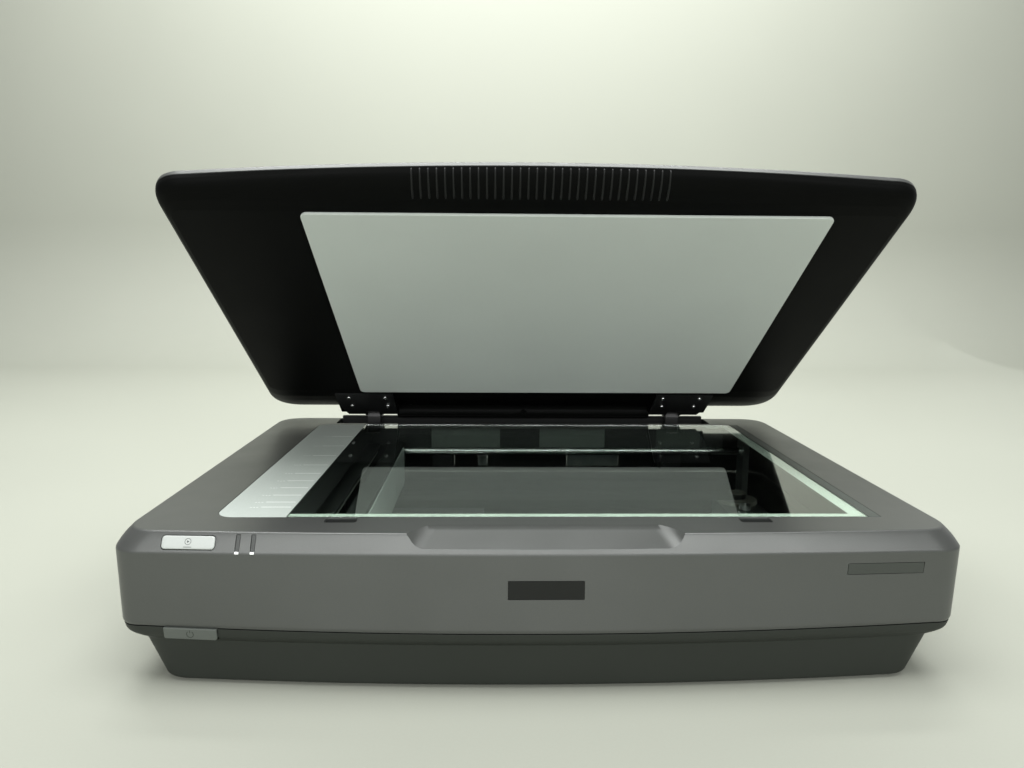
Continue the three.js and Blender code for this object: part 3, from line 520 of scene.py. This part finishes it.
def darken_inside_and_shade_trough(body):
    """Gives the faces that look into a shell the darker inner material, and paints the lid's shade into the hinge
    trough with it.
    """
    body.data.materials.append(MATERIALS["inner_dark"])
    for face in body.data.polygons:
        spot = face.center / MM
        on_recess = spot.z > 113 and spot.y < -199
        # painted shade: the hinge trough is made dark for the shade the lid casts there, not for a colour of its
        # own
        shaded_trough = 187.5 < spot.y < 227 and abs(spot.x) < 242 and 100 < spot.z < 131
        if shaded_trough or (spot.z < 121.5 and not on_recess and face.normal.dot(spot - SHELL_INSIDE) < 0):
            face.material_index = 1


def rear_well(x0, x1, z0, z1):
    return slab("cutter", (-x1 - 0.4, -x0 + 0.4, z0 - 0.4, z1 + 0.4), 1.2, well(214, 228.6, 0.5), REAR)


def upper_housing():
    levels = softened([inset(HOUSING_OUTER[0], 4)] + HOUSING_OUTER + [inset(HOUSING_OUTER[-1], 6)],
                      {2: 1.2, 3: 1.3, 4: 3.0, 5: 2.0, 6: 1.6})
    body = loft("upper_shell", levels)
    x0, x1, y0, y1, z0, _ = box_mm("platen_glass")
    strip, rail = box_mm("scale_strip"), box_mm("right_rail")
    steps = [
        ("DIFFERENCE", loft("cutter", HOUSING_INNER)),
        ("UNION", slab("part", (-245, 245, 184.5, 226), 2, [(TROUGH_FLOOR - 3, 0), (TOP - 1, 0)])),
        ("DIFFERENCE", slab("cutter", TROUGH, 3, well(TROUGH_FLOOR, TOP, 0.9))),
        ("DIFFERENCE", slab("cutter", (strip[0] - 0.3, rail[1] + 0.3, y0 - 0.3, y1 + 0.3),
                            (15, 1.5, 1.5, 11), well(z0 - 0.3, TOP, 0.45), steps=10)),
        ("DIFFERENCE", slab("cutter", (x0 + 7, x1 - 7, y0 + 7, y1 - 7), 4, [(100, 0), (TOP + 3, 0)])),
        ("DIFFERENCE", finger_recess()),
        ("DIFFERENCE", front_well(BUTTON, BUTTON["x"], BUTTON["z"], HOUSING_OUTER, 16, 0.5, 3, 0.4)),
        ("DIFFERENCE", front_well(NAME, NAME["x"], NAME["z"], HOUSING_OUTER, 1.3, 0.3, 0.8, 0.2)),
        ("DIFFERENCE", front_well(LABEL, LABEL["x"], LABEL["z"], HOUSING_OUTER, 1.1, 0.3, 0.8, 0.2)),
    ]
    for x in RIM_NOTCHES:
        steps.append(("DIFFERENCE", slab("cutter", (x - 12.5, x + 12.5, -194, -183), 2.5,
                                         well(TOP - 3, TOP, 0.5))))
    for x in INDICATORS:
        steps.append(("DIFFERENCE", front_well(SLOT, x, BUTTON["z"], HOUSING_OUTER, 3.3, 0.2, 0.5, 0.2)))
    for side in (-1, 1):
        x = side * POST_X
        steps.append(("DIFFERENCE", slab("cutter", (x - 8.6, x + 8.6, 205.4, 219.8), 1,
                                         [(TROUGH_FLOOR - 5, 0), (TROUGH_FLOOR + 1, 0)])))
    for node in ("power_inlet", "usb_socket", "option_cover"):
        a, b, _, _, c, d = box_mm(node)
        steps.append(("DIFFERENCE", rear_well(a, b, c, d)))
    steps.append(("UNION", slab("part", (-240, 240, 220.1, 226.5), 2.6,
                                [(TOP - 2, 0), (129, 0), (129.7, -0.3), (130, -1)])))
    settle(shape_with(body, steps), "base", "housing_grey", "upper_housing", soft_edge=28)
    darken_inside_and_shade_trough(body)
    heights = [(TOP - 3, 0), (TOP - 1.6, 0), (TOP - 1.2, -0.4)]
    pads = [slab("part", (x - 12.2, x + 12.2, -193.7, -183.3), 2.3, heights) for x in RIM_NOTCHES]
    settle(joined("rim_pads", pads), "base", "rubber", look="inner_dark")


upper_housing()


# ---- lower case --------------------------------------------------------------------------------
def lower_case():
    levels = softened([inset(CASE_OUTER[0], 8)] + CASE_OUTER + [inset(CASE_OUTER[-1], 1.6)],
                      {1: 3.5, 2: 1.2, 3: 1.6, 4: 2.6, 5: 0.4})
    body = loft("lower_shell", levels)
    lock = box_mm("transport_lock")
    lock_at = (-205, -110)
    steps = [
        ("DIFFERENCE", loft("cutter", CASE_INNER)),
        ("UNION", slab("part", (-214, -211, 111, 129), 1, [(3.5, 0), (35, 0), (36, -0.8)])),
        ("DIFFERENCE", front_well(POWER, POWER["x"], POWER["z"], CASE_OUTER, 22, 0.6, 1.6, 0.3)),
        ("DIFFERENCE", disc("cutter", lock_at, [(13.2, 0), (12.4, 2.8), (12.4, lock[4] + 4)])),
    ]
    settle(shape_with(body, steps), "base", "case_grey", "lower_case", soft_edge=28)
    darken_inside_and_shade_trough(body)


lower_case()


def foot(node):
    x0, x1, y0, y1, z0, z1 = box_mm(node)
    r = (x1 - x0) / 2
    profile = [(r - 3, z0 + 0.35), (r - 2.4, z0), (r - 0.5, z0), (r, z0 + 0.5), (r, z1 - 0.3), (r - 0.4, z1)]
    piece = disc(node + "_pad", ((x0 + x1) / 2, (y0 + y1) / 2), profile, 40)
    settle(piece, "base", "rubber", node)


for corner in ("front_left", "front_right", "rear_left", "rear_right"):
    foot("foot_" + corner)


# ---- platen ------------------------------------------------------------------------------------
def platen():
    x0, x1, y0, y1, z0, z1 = box_mm("platen_glass")
    settle(slab("platen_pane", (x0, x1, y0, y1), 1.2, edged(z0, z1, 0.35)), "base", "platen_glass",
           "platen_glass")
    under = z0 - 0.25
    border = [
        slab("part", (x0 + 0.5, x1 - 0.5, y0 + 0.5, y0 + 9.5), 0.5, [(under, 0), (under + 0.2, 0)]),
        slab("part", (x1 - 12, x1 - 0.5, y0 + 9.6, y1 - 16), 0.5, [(under, 0), (under + 0.2, 0)]),
        slab("part", (x1 - 33, x1 - 4, y1 - 15, y1 - 0.5), 0.5, [(under, 0), (under + 0.2, 0)]),
    ]
    settle(joined("glass_border", border), "base", "white_plastic", look="glass_border")
    mask = slab("glass_mask", (x0 + 0.5, x0 + 20, y0 + 9.6, y1 - 0.5), 0.5, [(under, 0), (under + 0.2, 0)])
    settle(mask, "base", "rail_dark", look="inner_dark")
    x0, x1, y0, y1, z0, z1 = box_mm("scale_strip")
    strip = slab("scale_plate", (x0, x1, y0, y1), (14.6, 0.5, 0.5, 10.6), edged(z0, z1, 0.4), steps=12)
    settle(strip, "base", "strip_silver", "scale_strip")
    marks = []
    ink = [(z1 - 0.01, 0), (z1 + 0.03, 0)]
    for y in (-156, -142.5, -122.7, -100.5, -78, -52, -20.7, 18, 62, 110):
        marks.append(slab("part", (x1 - 27, x1 - 2.5, y - 0.35, y + 0.35), 0.1, ink))
        for k in range(3):
            dash = (x1 - 36 + 2.6 * k, x1 - 34.4 + 2.6 * k, y - 1.1, y - 0.6)
            marks.append(slab("part", dash, 0.1, ink))
    settle(joined("scale_marks", marks), "base", "strip_silver", look="scale_marks")
    x0, x1, y0, y1, z0, z1 = box_mm("right_rail")
    settle(slab("rail_bar", (x0, x1, y0, y1), 0.8, edged(z0, z1, 0.7)), "base", "rail_dark", "right_rail")


platen()


# ---- controls and plates on the front ----------------------------------------------------------
def start_button():
    place = on_front(HOUSING_OUTER, BUTTON["x"], BUTTON["z"])
    levels = [(-5, -0.3), (-0.3, 0), (0.15, -0.12), (0.4, -0.45), (0.55, -1.2), (0.62, -2.6), (0.66, -4.6)]
    button = slab("start_key", centred(BUTTON), BUTTON["corner"], levels, place, steps=8)
    settle(button, "start_button", "button_silver", "start_button", soft_edge=40)
    ring = [[(r * math.cos(2 * math.pi * i / 48), r * math.sin(2 * math.pi * i / 48) + 0.6, z)
             for i in range(48)] for r, z in ((2.45, 0.6), (2.45, 0.7), (2.1, 0.7), (2.1, 0.6))]
    points = [p for row in ring for p in row]
    faces = [(k * 48 + i, k * 48 + (i + 1) % 48, ((k + 1) % 4) * 48 + (i + 1) % 48, ((k + 1) % 4) * 48 + i)
             for k in range(4) for i in range(48)]
    circle = new_object("part", points, faces, place)
    arrow = skin("part", [[(-0.65, -0.35, z), (1.05, 0.6, z), (-0.65, 1.55, z)] for z in (0.6, 0.7)], place)
    bar = slab("part", (-3, 3, -3.6, -3.2), 0.1, [(0.56, 0), (0.66, 0)], place)
    settle(joined("start_mark", [circle, arrow, bar]), "start_button", "button_silver", look="button_mark")


start_button()


def plate(name, node, size, slot, levels):
    place = on_front(levels, size["x"], size["z"])
    piece = slab(name, centred(size), 0.5, [(-0.95, 0), (-0.25, 0), (-0.08, -0.06), (0, -0.25)], place)
    settle(piece, "base", slot, node)


plate("name_badge", "name_plate", NAME, "plate_dark", HOUSING_OUTER)
plate("label_badge", "label_plate", LABEL, "label_grey", HOUSING_OUTER)

for side, x in zip(("left", "right"), INDICATORS):
    place = on_front(HOUSING_OUTER, x, BUTTON["z"])
    lens = slab("indicator_lens_" + side, centred(SLOT), 0.4,
                [(-3, 0), (-0.5, 0), (-0.2, -0.1), (-0.12, -0.4)], place)
    settle(lens, "base", "indicator_clear", "indicator_" + side)
    end = slab("indicator_end_" + side, (-1.5, 1.5, -8.2, -6.4), 0.3,
               [(-1.5, 0), (0.25, 0), (0.4, -0.15)], place)
    settle(end, "base", "indicator_clear", look="indicator_end")


def power_key():
    place = on_front(CASE_OUTER, POWER["x"], POWER["z"])
    levels = [(-7, -0.2), (0.5, 0), (0.95, -0.12), (1.15, -0.4), (1.2, -0.9)]
    body = slab("power_key", centred(POWER), (1.4, 2.2, 0.6, 0.6), levels, place)
    settle(body, "power_button", "power_button_grey", "power_button", soft_edge=40)
    sweep = arc(0, 0, 2.9, 125, 415, 30)
    inner = arc(0, 0, 2.45, 125, 415, 30)
    loop = sweep + list(reversed(inner))
    count, half = len(loop), len(sweep)
    points = [(x, y, z) for z in (1.15, 1.28) for x, y in loop]
    faces = []
    for i in range(half - 1):
        low = (i, i + 1, count - 2 - i, count - 1 - i)
        faces += [tuple(reversed(low)), tuple(v + count for v in low)]
    faces += [(i, (i + 1) % count, (i + 1) % count + count, i + count) for i in range(count)]
    ring = new_object("part", points, faces, place)
    stem = slab("part", (-0.22, 0.22, 1.0, 3.6), 0.1, [(1.15, 0), (1.28, 0)], place)
    settle(joined("power_mark", [ring, stem]), "power_button", "power_button_grey", look="case_grey")


power_key()


# ---- screws ------------------------------------------------------------------------------------
def screw(spot, radius=3.0, tall=1.5, turn=0.0, facing=None):
    """A pan head with a cross recess, standing on `spot` and facing along the matrix `facing`."""
    head = disc("part", (0, 0), [(radius, 0), (radius, tall * 0.45), (radius * 0.93, tall * 0.72),
                                 (radius * 0.7, tall * 0.93), (radius * 0.3, tall)], 24)
    arm, slot_half = radius * 0.62, radius * 0.13
    cross = [slab("cutter", (-a, a, -b, b), 0.05, [(tall * 0.45, -slot_half * 0.4), (tall * 1.3, 0)])
             for a, b in ((arm, slot_half), (slot_half, arm))]
    shape_with(head, [("DIFFERENCE", c) for c in cross])
    place = Matrix.Translation(spot) @ (facing or Matrix()) @ Matrix.Rotation(turn, 4, "Z")
    for vertex in head.data.vertices:
        vertex.co = (place @ (vertex.co / MM)) * MM
    return head


DOWN = Matrix.Rotation(math.pi, 4, "X")


# ---- rear --------------------------------------------------------------------------------------
def rear_cover():
    x0, x1, _, y1, z0, z1 = box_mm("option_cover")
    body = slab("rear_cover", (-x1, -x0, z0, z1), 1.0,
                [(y1 - 2, 0), (y1 - 0.4, 0), (y1 - 0.1, -0.15), (y1, -0.5)], REAR)
    rib = slab("part", (-x1 + 12, -x0 - 12, z0 + 6, z1 - 6), 2,
               [(y1 - 0.6, 0.4), (y1 + 0.15, 0), (y1 + 0.35, -0.5)], REAR)
    shape_with(body, [("UNION", rib)])
    settle(body, "base", "plated_steel", "option_cover")
    middle = (z0 + z1) / 2
    heads = [screw(REAR @ Vector((-x, middle, y1)), 2.6, 1.0, 0.4 + x, REAR) for x in (x0 + 6, x1 - 6)]
    settle(joined("rear_cover_screws", heads), "base", "bright_steel")


rear_cover()


# ---- lid ---------------------------------------------------------------------------------------
PLATE_X, PLATE_HALF = 200, 35.5


def tilt_with_lid(body):
    body.data.transform(Matrix.Scale(1 / MM, 4))
    body.data.transform(LID)
    body.data.transform(Matrix.Scale(MM, 4))


def lid_cover():
    levels = softened([inset(COVER_OUTER[0], 2)] + COVER_OUTER + [inset(COVER_OUTER[-1], 40)],
                      {1: 0.5, 2: 1.6, 3: 3.0, 4: 5.0, 5: 9.0}, 7)
    body = loft("lid_shell", levels)
    shape_with(body, [("DIFFERENCE", loft("cutter", COVER_INNER))])
    tilt_with_lid(body)
    settle(body, "lid", "housing_grey", "lid_cover", soft_edge=28)


def lid_tray():
    levels = softened([inset(TRAY_OUTER[0], 8)] + TRAY_OUTER + [inset(TRAY_OUTER[-1], 1.5)],
                      {1: 1.0, 2: 2.0, 3: 5.0, 4: 5.0, 5: 0.8}, 7)
    body = loft("lid_lining", levels)
    steps = [("DIFFERENCE", loft("cutter", TRAY_INNER))]
    for side in (-1, 1):
        x0, x1 = side * PLATE_X - PLATE_HALF - 1.5, side * PLATE_X + PLATE_HALF + 1.5
        ears = side * POST_X
        steps += [
            ("UNION", slab("part", (x0, x1, 148, 205), 1.5, [(132.1, 0), (144, 0)])),
            ("DIFFERENCE", slab("cutter", (x0 + 1, x1 - 1, 149.5, 230), 1.2, [(120, 0), (132.1, 0)])),
            ("DIFFERENCE", slab("cutter", (ears - 13.5, ears + 13.5, 194, 230), 1.5, [(120, 0), (150, 0)])),
        ]
    shape_with(body, steps)
    tilt_with_lid(body)
    settle(body, "lid", "lid_black", "lid_tray", soft_edge=28)


def grip_ribs():
    """Fine ribs across the lid's front band, for the fingers that lift it."""
    levels = softened(TRAY_OUTER, {1: 2.0, 2: 5.0, 3: 5.0}, 7)
    first, last, count = -105.5, 104.5, 32
    heights = [131.6, 132.1, 133, 134.5, 136.5, 138.5, 140.5, 142, 143.2, 144]
    ribs = []
    for k in range(count):
        x = first + (last - first) * k / (count - 1)
        spine = [Vector((front_line(levels, x, z), z)) for z in heights]
        rings = []
        for i, spot in enumerate(spine):
            along = spine[min(i + 1, len(spine) - 1)] - spine[max(i - 1, 0)]
            out = Vector((-along.y, along.x)).normalized()
            share = min(1, min(i, len(spine) - 1 - i) / 1.0)
            rise, half = 0.15 + 0.75 * share, 0.55 + 0.35 * share
            section = [(-half, -0.4), (-half, rise * 0.4), (-half * 0.45, rise), (half * 0.45, rise),
                       (half, rise * 0.4), (half, -0.4)]
            rings.append([(x + a, spot.x + out.x * b, spot.y + out.y * b) for a, b in section])
        ribs.append(skin("part", rings, LID))
    settle(joined("grip_ribs", ribs), "lid", "lid_black", look="rib_black")


def document_mat():
    rect = (-201.7, 251.7, -185.7, 139.8)
    levels = [(126.9, -1.6), (126.95, -0.8), (127.15, -0.25), (127.6, 0), (129.0, 0), (129.5, -0.3),
              (129.7, -0.8)]
    pad = slab("mat_pad", rect, 6, levels, LID, steps=10)
    settle(pad, "lid", "mat_white", "document_mat", soft_edge=60)


def cowl():
    """The rounded cowl that hides the lid's hinge line, with a step and a boss."""
    _, y, z = HINGE
    r = 9.3
    top = z + 5.5
    profile = [(y - 3, top), (y - r, top), (y - r, z + 1)] + arc(y, z, r, 180, 248, 12)
    profile += [(y - 3.2, z - r + 0.2), (y - 3.0, z - r + 0.9)] + arc(y, z, r - 0.9, 252, 350, 14)
    profile += [(y + r, z - 1), (y + r, top)]
    middle = Vector((y, z - 1))
    rings = []
    for x, scale in ((-165.5, 0.86), (-165.2, 0.95), (-164.2, 1), (164.2, 1), (165.2, 0.95), (165.5, 0.86)):
        ring = [(middle.x + (a - middle.x) * scale, middle.y + (b - middle.y) * scale) for a, b in profile]
        rings.append([(x, a, b) for a, b in ring])
    body = skin("hinge_cover", rings, LID)
    boss = disc("part", (0, 0), [(4.6, -3), (4.6, 0.9), (4.2, 1.3), (2.4, 1.3), (2.1, 0.5)], 32)
    tilt = math.radians(222)
    facing = Matrix.Translation((0, y + (r - 0.1) * math.cos(tilt), z + (r - 0.1) * math.sin(tilt))) \
        @ Matrix.Rotation(math.radians(138), 4, "X")
    for vertex in boss.data.vertices:
        vertex.co = (LID @ facing @ (vertex.co / MM)) * MM
    settle(joined("hinge_cover", [body, boss]), "lid", "lid_black", "hinge_cowl")


def hinge_screws():
    spots = [(-219.7, 159), (-174.7, 159), (-219.0, 181), (-173.8, 181.5),
             (173.8, 159), (219.9, 159), (176.5, 181), (218.0, 181.5)]
    low = 129.3
    heads = [screw(LID @ Vector((x, y, low)), 2.7, 1.5, x * 0.7 + y, LID.to_3x3().to_4x4() @ DOWN)
             for x, y in spots]
    settle(joined("hinge_screws", heads), "lid", "bright_steel")


lid_cover()
lid_tray()
grip_ribs()
document_mat()
cowl()
hinge_screws()


# ---- inside, behind the platen -----------------------------------------------------------------
def rear_panels():
    """Panels on the inner rear wall, seen through the glass: grey bays between dark ones."""
    z0, z1 = 92.5, 121.2
    dark = slab("inner_wall", (-200, 258, 182.8, 184.3), 0.3, [(z0 - 2, 0), (z1, 0)])
    settle(dark, "base", "carriage_black")
    panels = []
    for x0, x1 in ((-119, -31), (20, 104)):
        panels.append(slab("part", (x0, x1, 181.6, 182.9), 0.4, edged(z0, z1 - 1, 0.5)))
    settle(joined("inner_bays", panels), "base", "plated_steel", look="panel_grey")
    dim = slab("inner_bay_dim", (171, 228, 182.0, 182.9), 0.4, edged(z0, z1 - 1, 0.4))
    settle(dim, "base", "carriage_black", look="rail_dark")
    ribs = [slab("part", (x - 0.8, x + 0.8, 181.2, 182.9), 0.3, [(z0, 0), (z1 - 0.5, 0)])
            for x in (-122, -28, 17, 107, 168, 231)]
    settle(joined("inner_ribs", ribs), "base", "carriage_black")


rear_panels()


# ---- CAD nodes that stay -----------------------------------------------------------------------
node_slots = {part["node"]: part["material_slot"] for part in frame["record"]["subparts"]}
SOFT_EDGES = {"drive_gear": 0.12, "motor_pinion": 0.08, "tension_spring": 0.0, "ribbon_cable": 0.0}


def dress_nodes():
    for name, node in frame["nodes"].items():
        if node.hide_render:
            continue
        look = MATERIALS[node_slots[name]]
        node.data.materials.clear()
        node.data.materials.append(look)
        width = SOFT_EDGES.get(name, 0.3)
        if width:
            bevel = node.modifiers.new("soft_edges", "BEVEL")
            bevel.width, bevel.segments = width * MM, 2
            bevel.limit_method, bevel.angle_limit = "ANGLE", math.radians(40)
            bevel.harden_normals = False


dress_nodes()


# ---- floor, backdrop and light -----------------------------------------------------------------
def backdrop():
    """A pale floor that curves up into a wall far behind."""
    rise = [(-2.6, 0), (1.7, 0)] + [(1.7 + 0.5 * math.sin(t), 0.5 - 0.5 * math.cos(t))
                                    for t in [math.radians(9 * k) for k in range(1, 11)]] + [(2.2, 3.0)]
    points = [(x / MM, y / MM, z / MM) for y, z in rise for x in (-3.2, 3.2)]
    faces = [(2 * i, 2 * i + 1, 2 * i + 3, 2 * i + 2) for i in range(len(rise) - 1)]
    floor = new_object("backdrop", points, faces)
    for face in floor.data.polygons:
        face.use_smooth = True
    paper = material("backdrop", (157, 160, 149), 0.6, grain=2.0, relief=0.02, patch=400, vary=0.01,
                     fleck=0.01, specular=0.3)
    floor.data.materials.append(paper)


def area(name, at, aim, size, power, colour=(1, 1, 1)):
    data = bpy.data.lights.new(name, "AREA")
    data.shape, data.size, data.size_y = "RECTANGLE", size[0], size[1]
    data.energy, data.color = power, colour
    lamp = bpy.data.objects.new(name, data)
    SCENE.collection.objects.link(lamp)
    lamp.location = at
    lamp.rotation_mode = "QUATERNION"
    lamp.rotation_quaternion = (Vector(aim) - Vector(at)).to_track_quat("-Z", "Y")


def lights():
    world = bpy.data.worlds.new("world")
    SCENE.world = world
    world.use_nodes = True
    sky = world.node_tree.nodes["Background"]
    sky.inputs["Color"].default_value = (0.95, 0.97, 0.95, 1)
    sky.inputs["Strength"].default_value = 0.3
    area("overhead", (-0.1, -0.35, 2.0), (0, 0.0, 0), (2.2, 1.2), 57)
    area("high_front", (0, -1.9, 1.0), (0, -0.2, 0.12), (3.0, 0.45), 28)
    area("low_front", (-0.2, -2.2, 0.36), (0, 0.1, 0.2), (2.0, 0.4), 5)
    area("right_wall", (1.9, 1.2, 0.7), (0, 0.2, 0.3), (1.6, 1.4), 2)
    area("wall_wash", (0, 1.0, 2.5), (0, 2.2, 0.7), (3.0, 0.4), 104)
    SCENE.view_settings.view_transform = "Standard"


backdrop()
lights()
